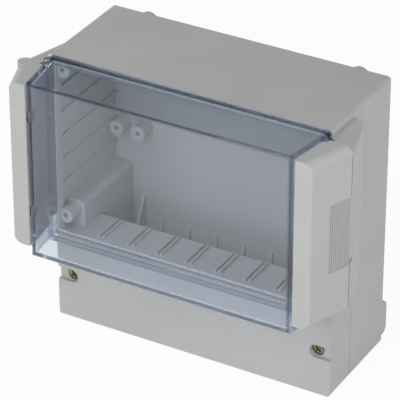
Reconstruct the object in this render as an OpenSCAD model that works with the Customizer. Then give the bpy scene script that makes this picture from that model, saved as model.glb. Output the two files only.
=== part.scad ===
// Wall-mounted plastic enclosure for electronics. A grey base holds a bay for circuit boards behind a
// clear hinged door, and a terminal bay below it behind a screwed cover. Flared grey strips clip on
// both sides of the door: the left one hinges on the base and the right one is the latch.
// X runs to the right, Y to the back and Z up, in millimetres.

/* [Base] */
// Width across the base's side walls
base_w = 200; // [180:1:240]
// Height of the base
base_h = 195; // [185:1:230]
// Depth of the base, from the terminal cover's front to the back wall
base_d = 73.5; // [66:0.5:100]
// Wall thickness of the base
base_wall = 3; // [2:0.25:3.5]
// Fillet along the upper side edges of the base
top_r = 2.2; // [1.5:0.1:4]
// Fillet along the lower side edges of the base and of the terminal cover
bottom_r = 1.5; // [1.5:0.5:4]
// How far the front rim stands ahead of the terminal cover
rim_lead = 5; // [3:0.5:6]
// Width of the front rim that carries the door seal
rim_w = 5.5; // [4.5:0.5:7]
// Depth of the front rim
rim_t = 6; // [4:0.5:9]

/* [Board bay] */
// Height of the shelf's upper face above the bottom
shelf_z = 66.5; // [62:0.5:72]
// Depth of the shelf behind the terminal cover's front
shelf_d = 28; // [20:1:40]
// Pairs of board guides on the shelf
guide_pairs = 7; // [1:2:7]
// Distance between pairs of board guides
guide_pitch = 21.4; // [16:0.2:24]
// Board thickness that fits between two guides
guide_slot = 2.2; // [1.8:0.1:3]
// Thickness of a guide
guide_t = 1.2; // [0.8:0.1:1.6]
// Height of a guide above the shelf
guide_h = 2; // [1:0.25:4]
// How far the guides lie to the right of the middle
guide_shift = -3.2; // [-4:0.2:4]
// Ribs on each side wall
wall_ribs = 5; // [1:1:5]
// Height of the lowest side wall rib
wall_rib_z = 97; // [92:0.5:100]
// Distance between side wall ribs
wall_rib_pitch = 17.3; // [12:0.1:18]
// How far a side wall rib stands out
wall_rib = 1.5; // [1:0.25:2]
// Thickness of a side wall rib
wall_rib_t = 2.4; // [1:0.2:3]
// Radius of the bosses that carry boards or an inner panel
boss_r = 5.2; // [4:0.1:6]
// Radius of the screw holes in those bosses
boss_bore_r = 1.6; // [1.2:0.1:2]
// Length of the bosses on the back wall
boss_l = 11; // [6:0.5:16]
// Distance between the two bosses of a pair on the back wall
boss_pitch = 16.2; // [13:0.2:24]
// Height of the back wall bosses
boss_z = 113.5; // [100:0.5:140]
// Width of the corner pillars beside the shelf
pillar_w = 13; // [11:0.5:15]
// Height of the corner pillars above the shelf
pillar_h = 18.5; // [14:0.5:20]

/* [Terminal bay] */
// Gussets on the lower back wall
gussets = 7; // [1:2:7]
// Distance between gussets
gusset_pitch = 20.6; // [14:0.2:24]
// Height of the gussets' upper ends
gusset_h = 46; // [20:1:50]
// How far a gusset stands out at its foot
gusset_d = 6; // [3:0.5:10]
// Height of the tall gusset beside each corner pillar
end_gusset_h = 62; // [50:1:62]
// How far a tall gusset stands out at its foot
end_gusset_d = 28; // [12:0.5:30]

/* [Wall feet] */
// Thickness of the feet that stand off the wall
foot_t = 6.5; // [4:0.5:10]
// Height of a foot
foot_h = 25; // [18:1:32]
// Radius of the wall screw holes
wall_hole_r = 2.75; // [2:0.25:3.5]
// Spacing of the wall screws across
wall_hole_x = 152; // [120:1:178]
// Height of the lower wall screws above the bottom
wall_hole_low = 17; // [16:1:20]
// Distance of the upper wall screws below the top of the base
wall_hole_top = 14.5; // [12.5:0.5:40]

/* [Wings] */
// How far a wing stands out of the side wall at its back edge
wing_out = 7; // [4:0.5:10]
// Depth of a wing behind the terminal cover's front
wing_back = 24; // [16:1:34]
// How far a wing reaches ahead of the terminal cover's front
wing_lead = 10.3; // [9.3:0.1:12]
// Fillet along the upper outer edge of a wing
wing_r = 6; // [3:0.5:8]
// How far the wings' upper end lies below the top of the base
wing_drop = 4.8; // [3:0.2:8]
// Height of the wings' lower end
wing_low = 78; // [74:1:90]

/* [Door] */
// Distance from the terminal cover's front to the door's front face
door_out = 43; // [38:0.5:52]
// Wall thickness of the door
door_wall = 2.5; // [2:0.25:3.5]
// Thickness of the door's flange
flange_t = 3.5; // [2.5:0.25:3.75]
// Thickness of the step on the flange's front
step_t = 4.2; // [2:0.2:4.6]
// How far the step lies inside the flange's edge
step_in = 1.3; // [0.8:0.1:2]
// How far the flange stands out past the base's top and side walls
flange_proud = 0.9; // [0.3:0.1:1.5]
// Corner radius of the flange
flange_r = 5; // [3:0.5:7]
// How far the flange's lower edge lies above the front rim's
flange_lift = 1.2; // [0:0.1:1.4]
// How much narrower the door's front face is than the base, on each side
door_inset = 7.7; // [6:0.1:10]
// How much the door's side walls lean outwards, front to flange
door_lean = 4.5; // [3:0.1:4.8]
// How far the door's front face starts above the shelf
door_rise = 3; // [2.5:0.1:10]
// How much the door's lower wall drops, front to flange
door_drop = 2; // [1:0.5:3.5]
// How far the door's top wall lies below the top of the base
door_fall = 1; // [0.6:0.1:3]
// Edge radius of the door
door_r = 2; // [1:0.25:4]

/* [Strips] */
// How far the strips' front face lies behind the door's front face
strip_setback = 0.7; // [0.2:0.1:2]
// How far the strips' front outer edge lies outside the side walls
strip_out = 5.4; // [3.5:0.1:8]
// Angle by which the strips' outer face flares towards the back
strip_flare = 20; // [14:1:24]
// Wall thickness of the strips
strip_wall = 1.5; // [1.2:0.1:2]
// How far the strips' upper end lies below the top of the base
strip_drop = 3; // [2:0.5:8]
// How far the strips' lower end lies above the shelf
strip_rise = 9.5; // [8:0.5:14]
// Radius of the strips' outer corners
strip_r = 6; // [3:0.5:8]
// Height of the grip panel
grip_h = 48; // [30:1:56]
// Width of the grip panel, measured from the strip's back edge
grip_w = 17.5; // [12:0.5:20]
// Depth of the grip panel
grip_t = 0.6; // [0.4:0.1:0.8]
// Ribs on the grip panel
grip_ribs = 11; // [5:1:13]

/* [Hinge and latch] */
// Radius of the hinge and strip pins
pin_r = 1.25; // [1:0.05:1.4]
// Radius of a lug's eye round its pin
lug_r = 2.6; // [2.4:0.1:2.8]
// Height of a lug
lug_h = 7; // [6:0.5:12]
// Height between the lower and the upper lugs
lug_rise = 68; // [50:1:72]
// Thickness of the webs above and below each lug
web_t = 3; // [2:0.25:4]

/* [Terminal cover] */
// Depth of the terminal cover
cover_d = 27.5; // [22:0.5:31]
// Wall thickness of the terminal cover
cover_wall = 2.5; // [2:0.25:3]
// Distance of the cover screws from the side walls
screw_in = 10; // [7.5:0.25:12]
// Height of the cover screws
screw_z = 31.5; // [28:0.5:36]
// Radius of the corner pockets round the cover screws
pocket_r = 4.8; // [4.8:0.1:6.4]
// Depth of the corner pockets
pocket_d = 3; // [2.5:0.25:5]
// Radius of a screw head
head_r = 3.9; // [3.2:0.1:4.2]
// Height of a screw head
head_h = 2.6; // [2:0.1:3]
// Radius of a screw's shank
shank_r = 1.9; // [1.5:0.1:2]

/* [Hidden] */
$fn = 64;
eps = 0.01;
// Number of flats in each rounded corner of a swept outline
corner_n = 8;

// Clearances
run_gap = 0.05;      // pin in a lug's eye, and shank in an insert
hold_gap = 0.03;     // pin in a web, and insert in a boss
side_gap = 0.3;      // beside a moving piece
seal_gap = 0.2;      // a seal and the piece that closes on it
flange_gap = 0.5;    // flange and rim
strip_gap = 0.5;     // strip and wing
seam_gap = 0.4;      // terminal cover and base
door_gap = 1.3;      // strip and door wall
wing_gap = 1.2;      // flange and wing
turn_gap = 1.3;      // door lug or keeper and the window it passes through
shank_gap = 0.4;     // screw shank and the holes it passes freely
head_gap = 0.5;      // screw head and its counterbore

// Planes along Y, with the origin half way between the door's front and the wall
half_w = base_w / 2;
y_wall = (door_out + base_d + foot_t) / 2;
y_back = y_wall - foot_t;
y_term = y_back - base_d;
y_rim = y_term - rim_lead;
y_door = y_term - door_out;
y_split = y_term + cover_d;
y_cover_b = y_split - seam_gap;
y_inner = y_back - base_wall;
y_flange_b = y_rim - flange_gap;
y_step = y_flange_b - flange_t;
y_flange = y_step - step_t;
y_wing = y_term - wing_lead;
y_wing_b = y_term + wing_back;
y_strip = y_door + strip_setback;
y_strip_b = y_wing - strip_gap;

// Levels along Z
shelf_t = base_wall;
upper_low = shelf_z - rim_w;
flange_low = upper_low + flange_lift;
flange_top = base_h + flange_proud;
cover_top = upper_low - side_gap;
door_top = base_h - door_fall;
door_low = shelf_z + door_rise;
wing_top = base_h - wing_drop;
strip_top = base_h - strip_drop;
strip_low = shelf_z + strip_rise;
strip_mid = (strip_top + strip_low) / 2;
wall_levels = [wall_hole_low, base_h - wall_hole_top];
lug_levels = [strip_mid - lug_rise / 2, strip_mid + lug_rise / 2];
grip_low = strip_mid - grip_h / 2;

// Half widths of the flange and of its front step
flange_x = half_w + flange_proud;
step_x = flange_x - step_in;

// Half width of the door's outside at a given Y
door_half = half_w - door_inset;
door_tan = door_lean / (y_flange - y_door);
function door_x(y) = door_half + (y - y_door) * door_tan;

// The strip's outer face is the line n.p = face_d, and the hinge strip's back edge turns round the hinge axis
barrel_proud = 0.2;
knuckle_r = strip_wall + side_gap + lug_r;
barrel_r = knuckle_r + barrel_proud;
face_d = (half_w + strip_out) * cos(strip_flare) - y_strip * sin(strip_flare);
axis_y = y_strip_b - knuckle_r;
function on_face(inset, y) = (face_d - inset + y * sin(strip_flare)) / cos(strip_flare);
axis_x = on_face(knuckle_r, axis_y);
back_x = on_face(0, y_strip_b);
wing_x = back_x - side_gap;
wing_in = flange_x + wing_gap;
wing_angle = atan((wing_x - half_w - wing_out) / (y_wing_b - y_wing));

// The strips turn on the door at these points
pivot_in = 1.5;
pivot_y = y_strip + strip_wall + lug_r + pivot_in;
pivot_x = door_x(pivot_y) + door_gap + strip_wall + lug_r;

// Snap of the latch strip on its keeper
keeper_h = 20;
keeper_t = 2.2;
keeper_x = half_w + 3.2;
keeper_y = axis_y - 3;
snap_r = 1.1;
snap_x = keeper_x + keeper_t - 0.4;
nose_d = 2.4;
window_lead = 3;

// Wings, with the hollow behind the grip and the solid roots of the lugs and of the keeper
wing_wall = 2;
wing_floor = 5;
wing_back_r = 1.5;
root_d = 6;
scoop_d = 1.5;
scoop_l = 9;
lug_relief = 0.6;
slot_lead = 1.4;

// Least radius of an inner corner
least_r = 0.1;

// Corners of the strips' outline, seen from above
strip_in_r = 1.2;
strip_front_r = 2.5;
strip_back_r = 0.6;
rib_share = 0.75;

// Base
rim_r = 2;
bay_r = 1.5;
term_r = 1;
guide_in = 2;
gusset_t = 2;
gusset_top = 1;
end_gusset_in = 8.5;
pillar_r = 4;
pillar_back = 11.5;
y_panel = y_rim + 2.5;
y_pillar = y_panel + pillar_back;
panel_boss_l = 14;
panel_bore_d = 9.5;
panel_drop = 3.5;
panel_low = 1;
boss_side = 0.3;
board_boss_in = 7;
blind_t = 2;
foot_half = 7;
foot_lip = 1.5;
knockout_n = 4;
knockout_pitch = 40;
knockout_r = 10;
knockout_w = 1;

// Door
door_in_r = 0.4;

// Terminal cover, its screws and the inserts
screw_x = half_w - screw_in;
bore_floor = pocket_d + head_h;
seat_t = 2;
cover_floor = bore_floor + seat_t;
pad_wall = 1.5;
cross_l = 2.6 * shank_r;
cross_w = 0.58 * shank_r;
cross_d = 0.6 * head_h;
insert_r = 3;
insert_l = 8;
insert_wall = 1.9;
insert_run = 6;

// Seals
rebate_out = 1.2;
rebate_d = 0.9;
seal_w = 2;
seal_d = 2;
seal_r = 0.8;
groove_w = seal_w + 2 * side_gap / 3;

grey = [0.72, 0.72, 0.71];
grey_strip = [0.74, 0.75, 0.74];
clear = [0.62, 0.7, 0.8, 0.35];
steel = [0.7, 0.7, 0.68];
seal_black = [0.2, 0.2, 0.21];

// Points along an arc
function arc(c, r, a0, a1) =
    [for (i = [0:corner_n]) let (a = a0 + (a1 - a0) * i / corner_n) c + r * [cos(a), sin(a)]];

// Sweeps an outline drawn in X and Z along Y, or one drawn in Y and Z along X
module along_y(y0, y1) {
    translate([0, y1, 0])
        rotate([90, 0, 0])
            linear_extrude(y1 - y0)
                children();
}

module along_x(x0, x1) {
    translate([x0, 0, 0])
        rotate([90, 0, 90])
            linear_extrude(x1 - x0)
                children();
}

module rod_y(x, z, r, y0, y1) {
    translate([x, y0, z])
        rotate([-90, 0, 0])
            cylinder(h = y1 - y0, r = r);
}

module both_sides() {
    children();
    mirror([1, 0, 0])
        children();
}

// A rectangle from x0, z0 to x1, z1 with round corners
module round_rect(x0, z0, x1, z1, r) {
    translate([x0 + r, z0])
        square([x1 - x0 - 2 * r, z1 - z0]);
    translate([x0, z0 + r])
        square([x1 - x0, z1 - z0 - 2 * r]);
    for (x = [x0 + r, x1 - r], z = [z0 + r, z1 - r])
        translate([x, z])
            circle(r);
}

// Rectangle that is round at its lower corners only
module tray_rect(half, z0, z1, r) {
    round_rect(-half, z0, half, z1, r);
    translate([-half, z1 - 2 * r])
        square([2 * half, 2 * r]);
}

// Base

module base_outside() {
    along_y(y_rim, y_back)
        round_rect(-half_w, upper_low, half_w, base_h, top_r);
    along_y(y_rim, y_back)
        translate([-half_w, upper_low])
            square([base_w, 2 * top_r]);
    along_y(y_split, y_back)
        tray_rect(half_w, 0, shelf_z, bottom_r);
}

module base_hollow() {
    inner = half_w - base_wall;
    // Board bay, narrower at the front rim
    along_y(y_rim + rim_t, y_inner)
        round_rect(-inner, shelf_z, inner, base_h - base_wall, bay_r);
    along_y(y_rim - eps, y_rim + rim_t + eps)
        round_rect(-half_w + rim_w, shelf_z, half_w - rim_w, base_h - rim_w, rim_r);
    // Terminal bay, open at the front below the shelf
    along_y(y_rim + rim_t, y_inner)
        round_rect(-inner, base_wall, inner, shelf_z - shelf_t, term_r);
    // Cable passage behind the shelf
    translate([-inner + pillar_w, y_term + shelf_d, shelf_z - shelf_t - eps])
        cube([2 * (inner - pillar_w), y_inner - y_term - shelf_d, shelf_t + 2 * eps]);
}

module seal_groove() {
    c = rim_w / 2;
    along_y(y_rim - eps, y_rim + seal_d)
        difference() {
            seal_outline(c - groove_w / 2);
            seal_outline(c + groove_w / 2);
        }
}

module seal_outline(inset) {
    r = max(flange_r - inset, seal_r);
    round_rect(-half_w + inset, upper_low + inset, half_w - inset, base_h - inset, r);
}

module shelf_guides() {
    pair = guide_slot / 2 + guide_t / 2;
    for (i = [0:guide_pairs - 1], s = [-1, 1]) {
        x = guide_shift + (i - (guide_pairs - 1) / 2) * guide_pitch + s * pair;
        translate([x - guide_t / 2, y_term + guide_in, shelf_z - eps])
            cube([guide_t, shelf_d - 2 * guide_in, guide_h + eps]);
    }
}

module side_ribs() {
    for (i = [0:wall_ribs - 1])
        translate([half_w - base_wall - wall_rib, y_rim + rim_t, wall_rib_z + i * wall_rib_pitch])
            cube([wall_rib + eps, y_inner - y_rim - rim_t, wall_rib_t]);
}

// Corner pillar beside and behind the shelf, with the lower panel boss on its front
module pillar() {
    inner = half_w - base_wall;
    z = lower_panel_z();
    y_shelf = y_term + shelf_d - eps;
    along_y(y_pillar, y_inner + eps) {
        round_rect(inner - pillar_w, shelf_z, inner, shelf_z + pillar_h, pillar_r);
        translate([inner - pillar_w, shelf_z - eps])
            square([pillar_w + eps, pillar_h / 2]);
        translate([inner - pillar_w / 2, shelf_z - eps])
            square([pillar_w / 2 + eps, pillar_h + eps]);
    }
    translate([inner - pillar_w, y_shelf, base_wall - eps])
        cube([pillar_w + eps, y_inner - y_shelf + eps, shelf_z - base_wall + pillar_h / 2]);
    rod_y(panel_x(), z, boss_r, y_panel, y_pillar + eps);
}

// Gussets that stiffen the lower back wall, with a tall one beside each pillar
module wall_gussets() {
    for (i = [0:gussets - 1])
        gusset((i - (gussets - 1) / 2) * gusset_pitch, gusset_h, gusset_d);
    for (s = [-1, 1])
        gusset(s * (half_w - base_wall - pillar_w - end_gusset_in), end_gusset_h, end_gusset_d);
}

module gusset(x, h, d) {
    along_x(x - gusset_t / 2, x + gusset_t / 2)
        polygon([[y_inner + eps, base_wall - eps], [y_inner + eps, h],
                 [y_inner - gusset_top, h], [y_inner - d, base_wall - eps]]);
}

function panel_x() = half_w - base_wall - boss_r - boss_side;

function lower_panel_z() = shelf_z + pillar_h - boss_r - panel_low;

function upper_panel_z() = base_h - base_wall - boss_r - panel_drop;

module upper_panel_boss() {
    z = upper_panel_z();
    rod_y(panel_x(), z, boss_r, y_panel, y_panel + panel_boss_l);
    translate([panel_x(), y_panel, z])
        cube([half_w - base_wall - panel_x() + eps, panel_boss_l, base_h - base_wall - z + eps]);
}

module panel_bores() {
    for (z = [lower_panel_z(), upper_panel_z()])
        rod_y(panel_x(), z, boss_bore_r, y_rim - eps, y_panel + panel_bore_d);
}

function board_boss_x(i) = half_w - base_wall - board_boss_in - i * boss_pitch;

module board_bosses() {
    for (i = [0, 1])
        difference() {
            rod_y(board_boss_x(i), boss_z, boss_r, y_inner - boss_l, y_inner + eps);
            rod_y(board_boss_x(i), boss_z, boss_bore_r, y_inner - boss_l - eps, y_inner - blind_t);
        }
}

// Boss that takes the brass insert of a cover screw, tied to the side wall
module insert_boss() {
    r = insert_r + insert_wall;
    rod_y(screw_x, screw_z, r, y_term + cover_floor, y_inner + eps);
    translate([screw_x, y_split + side_gap, screw_z - web_t / 2])
        cube([half_w - base_wall - screw_x + eps, y_inner - y_split, web_t]);
}

module insert_bore() {
    y0 = y_term + cover_floor;
    rod_y(screw_x, screw_z, insert_r + hold_gap, y0 - eps, y0 + insert_l);
    rod_y(screw_x, screw_z, shank_r + shank_gap, y0, y0 + insert_l + insert_run);
}

// Feet that stand off the wall: a lower one with round corners as seen from the side, which runs out to
// the side wall, and an upper one with round ends as seen from the back
module feet() {
    r = foot_t - foot_lip;
    x = wall_hole_x / 2;
    z0 = wall_levels[0] - foot_h / 2;
    z1 = wall_levels[1] - foot_h / 2;
    along_x(x - foot_half, half_w)
        intersection() {
            round_rect(y_back - 2 * r, z0, y_wall, z0 + foot_h, r);
            translate([y_back - eps, z0])
                square([foot_t + eps, foot_h]);
        }
    along_y(y_back - eps, y_wall)
        round_rect(x - foot_half, z1, x + foot_half, z1 + foot_h, foot_half - eps);
}

module wall_holes() {
    for (z = wall_levels)
        rod_y(wall_hole_x / 2, z, wall_hole_r, y_inner - eps, y_wall + eps);
}

// Rings of thin wall in the bottom, pressed out where a cable gland is wanted
module knockouts() {
    y = (y_split + y_inner) / 2;
    for (i = [0:knockout_n - 1])
        translate([(i - (knockout_n - 1) / 2) * knockout_pitch, y, -eps])
            difference() {
                cylinder(h = base_wall / 2, r = knockout_r);
                translate([0, 0, -eps])
                    cylinder(h = base_wall, r = knockout_r - knockout_w);
            }
}

// Wing beside the door, which the strip's back edge meets
module wing_block() {
    x0 = half_w - base_wall / 2;
    r = wing_back_r;
    outline = concat(
        [[x0, y_rim], [wing_in, y_rim], [wing_in, y_wing], [wing_x, y_wing]],
        arc([half_w + wing_out - r, y_wing_b - r], r, wing_angle, 90),
        [[x0, y_wing_b]]);
    n = wing_x * cos(wing_angle) + y_wing * sin(wing_angle);
    intersection() {
        translate([0, 0, wing_low])
            linear_extrude(wing_top - wing_low)
                polygon(outline);
        rotate([0, 0, wing_angle])
            along_y(-base_w, base_w)
                round_rect(0, wing_low - 2 * wing_r, n, wing_top, wing_r);
    }
}

// Hollow of a wing, cored from the front but left solid at the roots of the lugs and of the keeper
module wing_core() {
    d = y_wing_b - y_wing - wing_floor;
    x0 = wing_in + wing_wall;
    x1 = wing_x - wing_wall - scoop_d;
    difference() {
        translate([0, 0, wing_low + wing_wall])
            linear_extrude(wing_top - wing_low - wing_r - wing_wall)
                polygon([[x0, y_wing - eps], [x1, y_wing - eps],
                         [x1 - d * tan(wing_angle), y_wing + d], [x0, y_wing + d]]);
        for (z = concat(lug_levels, [strip_mid]))
            translate([half_w, y_wing - 2 * eps, z - keeper_h / 2 - web_t])
                cube([wing_x - half_w, root_d, keeper_h + 2 * web_t]);
    }
}

// Shallow hollow in the wing behind the grip, where fingers reach the strip's back edge
module finger_scoop() {
    x_end = wing_x - scoop_l * tan(wing_angle);
    translate([0, 0, grip_low])
        linear_extrude(grip_h)
            polygon([[wing_x - scoop_d, y_wing - eps], [wing_x + scoop_d, y_wing - eps],
                     [wing_x + scoop_d, y_wing + scoop_l], [x_end, y_wing + scoop_l]]);
}

// Hinge lug: a neck from the wing with an eye round the hinge axis
module hinge_lug(z) {
    translate([axis_x, axis_y, z - lug_h / 2]) {
        cylinder(h = lug_h, r = lug_r);
        translate([-lug_r, 0, 0])
            cube([2 * lug_r - lug_relief, y_wing + root_d - axis_y, lug_h]);
    }
}

module hinge_lug_bore(z) {
    translate([axis_x, axis_y, z - lug_h / 2 - eps])
        cylinder(h = lug_h + 2 * eps, r = pin_r + run_gap);
}

// Keeper that the latch strip snaps on
module keeper() {
    translate([keeper_x, keeper_y, strip_mid - keeper_h / 2])
        cube([keeper_t, y_wing + root_d - keeper_y, keeper_h]);
    translate([snap_x, keeper_y + snap_r, strip_mid - keeper_h / 2])
        cylinder(h = keeper_h, r = snap_r);
}

module base() {
    color(grey)
        difference() {
            union() {
                difference() {
                    base_outside();
                    base_hollow();
                }
                shelf_guides();
                wall_gussets();
                both_sides() {
                    side_ribs();
                    pillar();
                    upper_panel_boss();
                    board_bosses();
                    insert_boss();
                    feet();
                    difference() {
                        wing_block();
                        wing_core();
                        finger_scoop();
                    }
                }
                mirror([1, 0, 0])
                    for (z = lug_levels)
                        hinge_lug(z);
                keeper();
            }
            seal_groove();
            both_sides() {
                panel_bores();
                insert_bore();
                wall_holes();
            }
            mirror([1, 0, 0])
                for (z = lug_levels)
                    hinge_lug_bore(z);
            knockouts();
        }
}

module door_seal() {
    c = rim_w / 2;
    color(seal_black)
        along_y(y_flange_b + seal_gap, y_rim + seal_d)
            difference() {
                seal_outline(c - seal_w / 2);
                seal_outline(c + seal_w / 2);
            }
}

// Door

// Outline of the door seen from above, with leaning sides and round front corners
module door_plan(inset, y_end) {
    lean = atan(door_tan);
    d = door_half * cos(lean) - y_door * sin(lean) - inset;
    r = max(door_r - inset, door_in_r);
    yc = y_door + inset + r;
    xc = (d - r + yc * sin(lean)) / cos(lean);
    x_end = (d + y_end * sin(lean)) / cos(lean);
    polygon(concat([[-x_end, y_end]],
                   arc([-xc, yc], r, 180 + lean, 270),
                   arc([xc, yc], r, 270, 360 - lean),
                   [[x_end, y_end]]));
}

// Outline of the door seen from its side, with a sloping lower wall
module door_side(inset, y_end) {
    slope = atan(door_drop / (y_flange - y_door));
    d = -door_low * cos(slope) - y_door * sin(slope) - inset;
    r = max(door_r - inset, door_in_r);
    yc = y_door + inset + r;
    low_z = -(d - r + yc * sin(slope)) / cos(slope);
    end_z = -(d + y_end * sin(slope)) / cos(slope);
    top = door_top - inset;
    polygon(concat([[y_end, top]],
                   arc([yc, top - r], r, 90, 180),
                   arc([yc, low_z], r, 180, 270 - slope),
                   [[y_end, end_z]]));
}

module door_box(inset, y_end) {
    intersection() {
        translate([0, 0, shelf_z - base_h])
            linear_extrude(3 * base_h)
                door_plan(inset, y_end);
        along_x(-base_w, base_w)
            door_side(inset, y_end);
    }
}

// Flange in two steps, which covers the seal
module door_flange() {
    along_y(y_step, y_flange_b)
        round_rect(-flange_x, flange_low, flange_x, flange_top, flange_r);
    along_y(y_flange, y_step + eps)
        round_rect(-step_x, flange_low + step_in, step_x, flange_top - step_in, flange_r - step_in);
}

// Lug on the door's side wall that a strip turns on
module door_lug(z) {
    translate([pivot_x, pivot_y, z - lug_h / 2])
        cylinder(h = lug_h, r = lug_r);
    translate([door_x(pivot_y) - door_wall / 2, pivot_y - lug_r, z - lug_h / 2])
        cube([pivot_x - door_x(pivot_y) + door_wall / 2, 2 * lug_r, lug_h]);
}

module door_lug_bore(z) {
    translate([pivot_x, pivot_y, z - lug_h / 2 - eps])
        cylinder(h = lug_h + 2 * eps, r = pin_r + run_gap);
}

module door() {
    color(clear)
        difference() {
            union() {
                difference() {
                    union() {
                        door_box(0, y_flange + eps);
                        door_flange();
                    }
                    door_box(door_wall, y_flange_b + eps);
                }
                both_sides()
                    for (z = lug_levels)
                        door_lug(z);
            }
            both_sides()
                for (z = lug_levels)
                    door_lug_bore(z);
        }
}

// Strips, drawn for the right side

// The strip's outline seen from above, or its hollow when inset, which is open at the back.
// The hinge strip's back edge is round about the hinge axis, and the inner wall steps round the flange.
module strip_plan(inset, y_end, hinged) {
    r_in = max(strip_in_r, inset + least_r);
    r_out = max(strip_front_r, inset + least_r);
    r_back = max(strip_back_r, inset + least_r);
    x0 = door_x(y_strip) + door_gap + r_in;
    x_notch = step_x + door_gap + inset;
    y_notch = y_flange - strip_gap - inset;
    yc = y_strip + r_out;
    yb = y_strip_b - r_back;
    back = hinged ? arc([axis_x, axis_y], knuckle_r - inset, -strip_flare, 90)
                  : arc([on_face(r_back, yb), yb], r_back - inset, -strip_flare, 90);
    polygon(concat(
        arc([x0, y_strip + r_in], r_in - inset, 180, 270),
        arc([on_face(r_out, yc), yc], r_out - inset, 270, 360 - strip_flare),
        back,
        [[axis_x, y_end], [x_notch, y_end],
         [x_notch, y_notch], [door_x(y_notch) + door_gap + inset, y_notch]]));
}

// Limits a strip to its height, with round corners along its flared outer face
module strip_ends(inset) {
    rotate([0, 0, -strip_flare])
        along_y(-base_w, base_w)
            round_rect(0, strip_low + inset, face_d - inset, strip_top - inset, strip_r - inset);
}

module strip_solid(inset, y_end, hinged) {
    intersection() {
        translate([0, 0, strip_low - inset])
            linear_extrude(strip_top - strip_low + 2 * inset)
                strip_plan(inset, y_end, hinged);
        strip_ends(inset);
    }
}

// Webs above and below each lug hold the pins
module strip_webs(hinged) {
    for (z = lug_levels, s = [-1, 1])
        intersection() {
            strip_solid(strip_wall / 2, y_strip_b, hinged);
            translate([half_w - base_w / 4, y_strip, z + s * (lug_h / 2 + side_gap + web_t / 2) - web_t / 2])
                cube([base_w / 2, y_strip_b - y_strip, web_t]);
        }
}

// Window in the strip's inner wall for a door lug
module lug_window(z) {
    h = lug_h + 2 * side_gap;
    x = door_x(y_strip);
    translate([x, pivot_y - lug_r - turn_gap, z - h / 2])
        cube([pivot_x - x, 2 * (lug_r + turn_gap), h]);
}

module pin_bores() {
    for (z = lug_levels)
        translate([pivot_x, pivot_y, z - pin_l() / 2 - eps])
            cylinder(h = pin_l() + 2 * eps, r = pin_r + hold_gap);
}

function pin_l() = lug_h + 2 * side_gap + 2 * web_t;

// Grip panel in the outer face: a shallow recess with upright ribs
module grip_recess() {
    rotate([0, 0, -strip_flare]) {
        y0 = back_along() - grip_w;
        pitch = grip_w / (grip_ribs + 0.5);
        difference() {
            translate([face_d - grip_t, y0, grip_low])
                cube([2 * grip_t, grip_w + knuckle_r, grip_h]);
            for (i = [0:grip_ribs - 1])
                translate([face_d - grip_t - eps, y0 + (i + 0.75) * pitch, grip_low - eps])
                    cube([grip_t * rib_share, pitch / 2, grip_h + 2 * eps]);
        }
    }
}

// Distance of the strip's back edge along its outer face
function back_along() = back_x * sin(strip_flare) + y_strip_b * cos(strip_flare);

// Round back edge of the hinge strip, which stands up to the strip's top past its round corner
module hinge_barrel() {
    translate([axis_x, axis_y, strip_low + strip_r])
        cylinder(h = strip_top - strip_low - strip_r, r = barrel_r);
}

module strip_body(hinged) {
    difference() {
        union() {
            difference() {
                union() {
                    strip_solid(0, y_strip_b, hinged);
                    if (hinged)
                        hinge_barrel();
                }
                strip_solid(strip_wall, y_strip_b + strip_wall, hinged);
            }
            strip_webs(hinged);
        }
        for (z = lug_levels)
            lug_window(z);
        pin_bores();
        grip_recess();
    }
}

// Cut-out that lets a hinge lug pass as the door swings open
module lug_slot(z) {
    h = lug_h + 2 * side_gap;
    translate([axis_x - lug_r - side_gap, axis_y - lug_r - slot_lead, z - h / 2])
        cube([2 * knuckle_r + lug_r, 2 * knuckle_r + lug_r, h]);
}

module hinge_pin_bores() {
    for (z = lug_levels)
        translate([axis_x, axis_y, z - pin_l() / 2 - eps])
            cylinder(h = pin_l() + 2 * eps, r = pin_r + hold_gap);
}

module hinge_strip() {
    color(grey_strip)
        mirror([1, 0, 0])
            difference() {
                strip_body(true);
                for (z = lug_levels)
                    lug_slot(z);
                hinge_pin_bores();
            }
}

// Nose inside the latch strip that rides over the keeper's bead
module latch_nose() {
    x0 = snap_x + snap_r + side_gap;
    y0 = keeper_y + 2 * snap_r + side_gap;
    intersection() {
        strip_solid(strip_wall / 2, y_strip_b, false);
        translate([x0, y0, strip_mid - keeper_h / 2])
            cube([knuckle_r * 3, nose_d, keeper_h]);
    }
}

// Window in the latch strip's inner wall that lets the keeper in
module keeper_window() {
    h = keeper_h + 2 * turn_gap;
    x0 = door_x(y_strip);
    y0 = keeper_y - window_lead;
    translate([x0, y0, strip_mid - h / 2])
        cube([keeper_x - x0, y_strip_b - y0 + eps, h]);
}

module latch_strip() {
    color(grey_strip) {
        difference() {
            strip_body(false);
            keeper_window();
        }
        latch_nose();
    }
}

module pin(x, y, z) {
    color(steel)
        translate([x, y, z - pin_l() / 2])
            cylinder(h = pin_l(), r = pin_r);
}

// Terminal cover

module cover_pocket() {
    along_y(y_term - eps, y_term + pocket_d)
        union() {
            translate([screw_x, screw_z])
                circle(pocket_r);
            translate([screw_x, screw_z - pocket_r])
                square([screw_in + eps, 2 * pocket_r]);
        }
}

module cover_pad() {
    r = pocket_r + pad_wall;
    along_y(y_term + eps, y_term + cover_floor)
        union() {
            translate([screw_x, screw_z])
                circle(r);
            translate([screw_x, screw_z - r])
                square([screw_in - eps, 2 * r]);
        }
}

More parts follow.
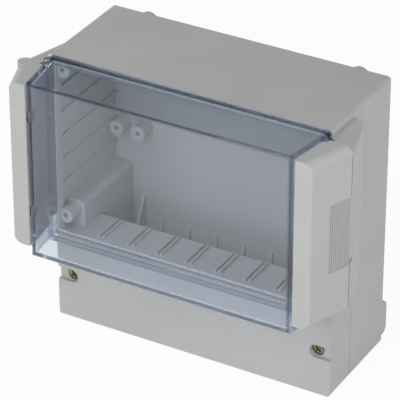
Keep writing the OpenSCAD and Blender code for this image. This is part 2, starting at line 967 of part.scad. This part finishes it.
module terminal_cover() {
    color(grey)
        difference() {
            union() {
                difference() {
                    along_y(y_term, y_cover_b)
                        tray_rect(half_w, 0, cover_top, bottom_r);
                    cover_hollow(cover_wall, y_term + cover_wall);
                    cover_hollow(rebate_out, y_cover_b - rebate_d);
                }
                both_sides()
                    cover_pad();
            }
            both_sides() {
                cover_pocket();
                rod_y(screw_x, screw_z, head_r + head_gap, y_term + pocket_d - eps, y_term + bore_floor);
                rod_y(screw_x, screw_z, shank_r + shank_gap, y_term, y_term + cover_floor + eps);
            }
        }
}

// The cover's hollow, or the rebate in its back edge, at a given distance inside its outline
module cover_hollow(inset, y0) {
    along_y(y0, y_split + eps)
        translate([0, inset])
            tray_rect(half_w - inset, 0, base_h, max(bottom_r - inset / 2, least_r));
}

// Flat seal in the rebate of the cover's back edge
module terminal_seal() {
    inset = rebate_out + hold_gap;
    color(seal_black)
        difference() {
            along_y(y_cover_b - rebate_d + hold_gap, y_split)
                translate([0, inset])
                    tray_rect(half_w - inset, 0, cover_top - inset, max(bottom_r - inset / 2, least_r));
            cover_hollow(cover_wall, y_split - cover_d);
        }
}

// Cheese-head screw with a cross recess, head towards the front
module cover_screw(side) {
    y0 = y_term + bore_floor - head_h;
    color([0.66, 0.6, 0.45])
        difference() {
            union() {
                rod_y(side * screw_x, screw_z, head_r, y0, y0 + head_h);
                rod_y(side * screw_x, screw_z, shank_r, y0 + head_h - eps, y_term + cover_floor + insert_l);
            }
            for (a = [45, 135])
                translate([side * screw_x, y0, screw_z])
                    rotate([0, a, 0])
                        cube([cross_l, 2 * cross_d, cross_w], center = true);
        }
}

module brass_insert(side) {
    y0 = y_term + cover_floor;
    color([0.78, 0.62, 0.3])
        difference() {
            rod_y(side * screw_x, screw_z, insert_r, y0, y0 + insert_l);
            rod_y(side * screw_x, screw_z, shank_r + run_gap, y0 - eps, y0 + insert_l + eps);
        }
}

base();
door_seal();
door();
hinge_strip();
latch_strip();
pin(-axis_x, axis_y, lug_levels[0]);  // hinge_pin_lower
pin(-axis_x, axis_y, lug_levels[1]);  // hinge_pin_upper
pin(-pivot_x, pivot_y, lug_levels[0]);  // left_strip_pin_lower
pin(-pivot_x, pivot_y, lug_levels[1]);  // left_strip_pin_upper
pin(pivot_x, pivot_y, lug_levels[0]);  // latch_pin_lower
pin(pivot_x, pivot_y, lug_levels[1]);  // latch_pin_upper
terminal_cover();
terminal_seal();
cover_screw(-1);  // cover_screw_left
cover_screw(1);  // cover_screw_right
brass_insert(-1);  // brass_insert_left
brass_insert(1);  // brass_insert_right
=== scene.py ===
"""Looks of the plastic enclosure: grey moulded base, clear tinted door, flared strips and metal parts."""
import math

import bpy
from mathutils import Matrix, Vector

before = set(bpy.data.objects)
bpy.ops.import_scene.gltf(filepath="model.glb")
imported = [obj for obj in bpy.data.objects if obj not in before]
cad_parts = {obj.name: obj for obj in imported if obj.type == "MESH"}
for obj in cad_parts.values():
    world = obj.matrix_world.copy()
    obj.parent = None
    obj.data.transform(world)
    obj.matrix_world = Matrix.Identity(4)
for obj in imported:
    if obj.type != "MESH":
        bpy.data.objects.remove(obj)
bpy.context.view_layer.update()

# Camera in millimetres and degrees: the point it is aimed past, its direction and its distance
AIM = Vector((0.0, 21.5, 90.0))
AZIMUTH = 29.526
ELEVATION = 30.763
DISTANCE = 1809.32
# How far the picture's middle lies to the left of that point and above it
ASIDE = 14.124
ABOVE = 4.174
LENS = 254.3
SENSOR = 36.0
MM = 0.001
# How far the camera sees, in metres
FAR = 50.0

# Where the lights stand, in metres, with their size and power
LIGHTS = (
    ("front_light", (-0.35, -1.5, 0.55), 1.0, 2.6),
    ("high_light", (-0.15, -1.15, 1.25), 1.0, 11.4),
    ("low_front_light", (0.5, -1.6, 0.15), 0.8, 4.5),
    ("right_light", (1.5, -0.55, 0.45), 0.9, 6.6),
    ("right_back_light", (1.4, 0.7, 0.55), 1.0, 2.0),
    ("top_light", (0.2, 0.1, 1.7), 1.0, 1.1),
    ("left_back_light", (-1.3, 1.1, 0.3), 1.0, 5.0),
)
LIGHT_AIM = Vector((0.0, 0.0, 0.1))
SKY = (0.92, 0.96, 1.0)
SKY_STRENGTH = 0.3

# Floor in metres: its width, how far it lies below the part, and the share of white in what is seen of it
FLOOR_SIZE = 12.0
FLOOR_DROP = 0.0005
FLOOR_COLOUR = (0.8, 0.8, 0.8)
FLOOR_ROUGHNESS = 0.9
FLOOR_WHITE = 0.95

# Grain of the opaque materials: scale of the noise, strength and depth in metres
GREY_GRAIN = (1800.0, 0.05, 0.0002)
RUBBER_GRAIN = (1200.0, 0.2, 0.0002)
METAL_GRAIN = (2500.0, 0.15, 0.0001)
GRAIN_NOISE = {"Detail": 3.0, "Roughness": 0.6}
# Slow drift between an opaque material's two colours: scale, noise and the places of the colours
GREY_DRIFT = 22.0
RUBBER_DRIFT = 60.0
METAL_DRIFT = 180.0
DRIFT_NOISE = {"Detail": 4.0, "Roughness": 0.55}
DRIFT_FROM = 0.3
DRIFT_TO = 0.7
# How far opaque edges are rounded, in metres
EDGE_ROUND = 0.0002
GREY_SPECULAR = 0.35
RUBBER_ROUGHNESS = 0.75

# Tint that each surface of the clear door gives to what is seen, from square on (0) to edge on (1): the
# door's own light blue, turning at the steepest slant into painted shade for the dark lines that
# refraction makes there
SEEN_TINT_AND_SHADE = (
    (0.3, (0.905, 0.936, 0.995)),
    (0.5, (0.89, 0.925, 0.98)),
    (0.59, (0.77, 0.83, 0.92)),
    (0.66, (0.08, 0.12, 0.18)),
)
# Tint that it gives to the light for what lies behind it
LIGHT_TINT = (
    (0.3, (0.91, 0.94, 0.995)),
    (0.75, (0.66, 0.71, 0.78)),
)
# Painted shade on the door's edges, standing in for the dark lines that refraction makes there, and how
# far in metres they are rounded
PAINTED_RIM_SHADE = (0.2, 0.26, 0.36)
RIM_ROUND = 0.0025
# Cosine of the turn at which a sharp edge has its full painted shade
SHARP_FULL = 0.9
# Cosines of the slope against the nearest axis at which a round edge starts and has its full painted shade
ROUND_START = 0.95
ROUND_FULL = 0.85
# Bend of light in the door, the bounces that are followed in it, and its gloss
CLEAR_IOR = 1.18
CLEAR_BOUNCES = 4.5
CLEAR_ROUGHNESS = 0.02
COAT_IOR = 1.5
COAT_ROUGHNESS = 0.03
# Waves that the flow of the plastic left in the door, given as a grain is
FLOW_WAVES = (14.0, 0.02, 0.0004)
FLOW_NOISE = {"Detail": 2.0, "Roughness": 0.5}


def put(tree, socket, value):
    """Links an input to another node's output, or sets its value."""
    if isinstance(value, bpy.types.NodeSocket):
        tree.links.new(value, socket)
    else:
        socket.default_value = value


def put_named(tree, node, inputs):
    for name, value in inputs.items():
        put(tree, node.inputs[name.replace("_", " ")], value)


def add(tree, kind, **inputs):
    """A node with its inputs given by name."""
    node = tree.nodes.new(kind)
    put_named(tree, node, inputs)
    return node


def calc(tree, operation, *inputs, kind="ShaderNodeMath", result="Value"):
    """Result of a maths node."""
    node = tree.nodes.new(kind)
    node.operation = operation
    for socket, value in zip(node.inputs, inputs):
        put(tree, socket, value)
    return node.outputs[result]


def ramp(tree, share, stops):
    """Colour that runs through the stops as the share goes up."""
    node = add(tree, "ShaderNodeValToRGB", Fac=share)
    points = node.color_ramp.elements
    while len(points) < len(stops):
        points.new(0.5)
    for point, (place, colour) in zip(points, stops):
        point.position = place
        point.color = (*colour, 1.0)
    return node.outputs["Color"]


def bumps(tree, where, normal, grain, noise):
    """Normal with the grain's small bumps on it."""
    scale, strength, depth = grain
    height = add(tree, "ShaderNodeTexNoise", Vector=where, Scale=scale, **noise).outputs["Fac"]
    bump = add(tree, "ShaderNodeBump", Strength=strength, Distance=depth, Height=height, Normal=normal)
    return bump.outputs["Normal"]


def rounded(tree, radius):
    """Normal that turns smoothly across edges."""
    return add(tree, "ShaderNodeBevel", Radius=radius).outputs["Normal"]


def show_mix(tree, share, first, second):
    """Shows the first shader, with a share of the second."""
    mix = tree.nodes.new("ShaderNodeMixShader")
    for socket, value in zip(mix.inputs, (share, first, second)):
        put(tree, socket, value)
    put(tree, tree.nodes["Material Output"].inputs["Surface"], mix.outputs["Shader"])


def new_material(name, **inputs):
    material = bpy.data.materials.new(name)
    material.use_nodes = True
    tree = material.node_tree
    shader = tree.nodes["Principled BSDF"]
    put_named(tree, shader, inputs)
    return material, tree, shader


def opaque(name, dark, light, grain, drift, **inputs):
    """Material with two close colours, fine grain and slightly rounded edges."""
    material, tree, shader = new_material(name, **inputs)
    where = tree.nodes.new("ShaderNodeTexCoord").outputs["Object"]
    tone = add(tree, "ShaderNodeTexNoise", Vector=where, Scale=drift, **DRIFT_NOISE).outputs["Fac"]
    colour = ramp(tree, tone, ((DRIFT_FROM, dark), (DRIFT_TO, light)))
    normal = bumps(tree, where, rounded(tree, EDGE_ROUND), grain, GRAIN_NOISE)
    put_named(tree, shader, {"Base Color": colour, "Normal": normal})
    return material


def grey_plastic(name, dark, light, roughness):
    return opaque(name, dark, light, GREY_GRAIN, GREY_DRIFT,
                  Roughness=roughness, Specular_IOR_Level=GREY_SPECULAR)


def rubber(name, dark, light):
    return opaque(name, dark, light, RUBBER_GRAIN, RUBBER_DRIFT, Roughness=RUBBER_ROUGHNESS)


def metal(name, dark, light, roughness):
    return opaque(name, dark, light, METAL_GRAIN, METAL_DRIFT, Roughness=roughness, Metallic=1.0)


def slant_tint(tree, stops):
    """Tint that changes from square on to edge on."""
    slant = add(tree, "ShaderNodeLayerWeight", Blend=0.5)
    return ramp(tree, slant.outputs["Facing"], stops)


def span(tree, value, start, full):
    """Rises from 0 to 1 as the value goes from start to full."""
    return add(tree, "ShaderNodeMapRange", Value=value, From_Min=start, From_Max=full).outputs["Result"]


def rim_shade_share(tree, facing, smooth):
    """Share of the painted rim shade: 1 on the door's edges and 0 on its walls.

    On a sharp edge the smooth normal turns away from the surface's own, and a round edge faces
    along no axis.
    """
    own = tree.nodes.new("ShaderNodeNewGeometry").outputs["Normal"]
    turn = calc(tree, "DOT_PRODUCT", smooth, own, kind="ShaderNodeVectorMath")
    sharp = span(tree, calc(tree, "ABSOLUTE", turn), 1.0, SHARP_FULL)
    parts = calc(tree, "ABSOLUTE", facing, kind="ShaderNodeVectorMath", result="Vector")
    x, y, z = add(tree, "ShaderNodeSeparateXYZ", Vector=parts).outputs
    largest = calc(tree, "MAXIMUM", calc(tree, "MAXIMUM", x, y), z)
    return calc(tree, "MAXIMUM", span(tree, largest, ROUND_START, ROUND_FULL), sharp)


def clear_plastic(name):
    """Clear door, with painted shade on its edges and a tint that turns into painted shade where it is
    seen at a steep slant.

    Light for what lies behind, and light that has bounced along inside a wall, passes straight through.
    """
    material, tree, shader = new_material(
        name, Roughness=CLEAR_ROUGHNESS, IOR=CLEAR_IOR, Transmission_Weight=1.0,
        Coat_Weight=1.0, Coat_Roughness=COAT_ROUGHNESS, Coat_IOR=COAT_IOR)
    where = tree.nodes.new("ShaderNodeTexCoord").outputs
    smooth = rounded(tree, RIM_ROUND)
    edge = rim_shade_share(tree, where["Normal"], smooth)
    # The door's own tint, which turns into painted shade at the steepest slant
    seen = slant_tint(tree, SEEN_TINT_AND_SHADE)
    # Painted shade on the door's edges, for the dark lines that refraction makes there
    colour = add(tree, "ShaderNodeMixRGB", Fac=edge, Color1=seen, Color2=(*PAINTED_RIM_SHADE, 1.0)).outputs["Color"]
    normal = bumps(tree, where["Object"], smooth, FLOW_WAVES, FLOW_NOISE)
    put_named(tree, shader, {"Base Color": colour, "Normal": normal})
    straight = add(tree, "ShaderNodeBsdfTransparent", Color=slant_tint(tree, LIGHT_TINT))
    path = tree.nodes.new("ShaderNodeLightPath").outputs
    light = calc(tree, "MAXIMUM", path["Is Shadow Ray"], path["Is Diffuse Ray"])
    late = calc(tree, "GREATER_THAN", path["Ray Depth"], CLEAR_BOUNCES)
    show_mix(tree, calc(tree, "MAXIMUM", light, late), shader.outputs["BSDF"], straight.outputs["BSDF"])
    return material


base_grey = grey_plastic("grey_plastic", (0.478, 0.475, 0.457), (0.502, 0.499, 0.481), roughness=0.5)
strip_grey = grey_plastic("strip_plastic", (0.48, 0.48, 0.462), (0.504, 0.504, 0.486), roughness=0.46)
clear = clear_plastic("clear_plastic")
black = rubber("seal_rubber", (0.018, 0.018, 0.02), (0.03, 0.03, 0.032))
steel = metal("pin_steel", (0.5, 0.5, 0.48), (0.62, 0.62, 0.6), roughness=0.3)
zinc = metal("screw_metal", (0.16, 0.13, 0.08), (0.34, 0.3, 0.2), roughness=0.2)
brass = metal("insert_brass", (0.55, 0.38, 0.14), (0.66, 0.48, 0.2), roughness=0.3)

# The pins, which aren't named here, are steel
FINISH = {
    "base": base_grey, "terminal_cover": base_grey,
    "hinge_strip": strip_grey, "latch_strip": strip_grey,
    "door": clear, "door_seal": black, "terminal_seal": black,
    "cover_screw_left": zinc, "cover_screw_right": zinc,
    "brass_insert_left": brass, "brass_insert_right": brass,
}

for name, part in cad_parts.items():
    part.data.materials.clear()
    part.data.materials.append(FINISH.get(name, steel))


def pale_floor():
    """Floor that the camera, the clear door and shiny surfaces see nearly white, with a faint shadow."""
    bpy.ops.mesh.primitive_plane_add(size=FLOOR_SIZE, location=(0.0, 0.0, -FLOOR_DROP))
    floor = bpy.context.object
    floor.name = "floor"
    material, tree, shader = new_material(
        "pale_floor", Base_Color=(*FLOOR_COLOUR, 1.0), Roughness=FLOOR_ROUGHNESS)
    path = tree.nodes.new("ShaderNodeLightPath").outputs
    through = calc(tree, "MAXIMUM", path["Is Glossy Ray"], path["Is Transmission Ray"])
    seen = calc(tree, "MAXIMUM", through, path["Is Camera Ray"])
    white = add(tree, "ShaderNodeEmission", Color=(1.0, 1.0, 1.0, 1.0), Strength=1.0)
    share = calc(tree, "MULTIPLY", seen, FLOOR_WHITE)
    show_mix(tree, share, shader.outputs["BSDF"], white.outputs["Emission"])
    floor.data.materials.append(material)


def sky():
    world = bpy.data.worlds.new("sky")
    world.use_nodes = True
    put_named(world.node_tree, world.node_tree.nodes["Background"],
              {"Color": (*SKY, 1.0), "Strength": SKY_STRENGTH})
    bpy.context.scene.world = world


def lights():
    for name, place, size, power in LIGHTS:
        data = bpy.data.lights.new(name, "AREA")
        data.size = size
        data.energy = power
        lamp = bpy.data.objects.new(name, data)
        lamp.location = place
        lamp.rotation_euler = (LIGHT_AIM - lamp.location).to_track_quat("-Z", "Y").to_euler()
        bpy.context.scene.collection.objects.link(lamp)


def camera():
    az = math.radians(AZIMUTH)
    el = math.radians(ELEVATION)
    right = Vector((math.cos(az), math.sin(az), 0.0))
    back = Vector((math.sin(az) * math.cos(el), -math.cos(az) * math.cos(el), math.sin(el)))
    up = back.cross(right)
    data = bpy.data.cameras.new("camera")
    data.lens = LENS
    data.sensor_width = SENSOR
    data.clip_end = FAR
    eye = bpy.data.objects.new("camera", data)
    place = (AIM - right * ASIDE + up * ABOVE + back * DISTANCE) * MM
    turn = Matrix((right, up, back)).transposed().to_4x4()
    eye.matrix_world = Matrix.Translation(place) @ turn
    bpy.context.scene.collection.objects.link(eye)
    bpy.context.scene.camera = eye


pale_floor()
sky()
lights()
camera()
bpy.context.scene.view_settings.view_transform = "Standard"
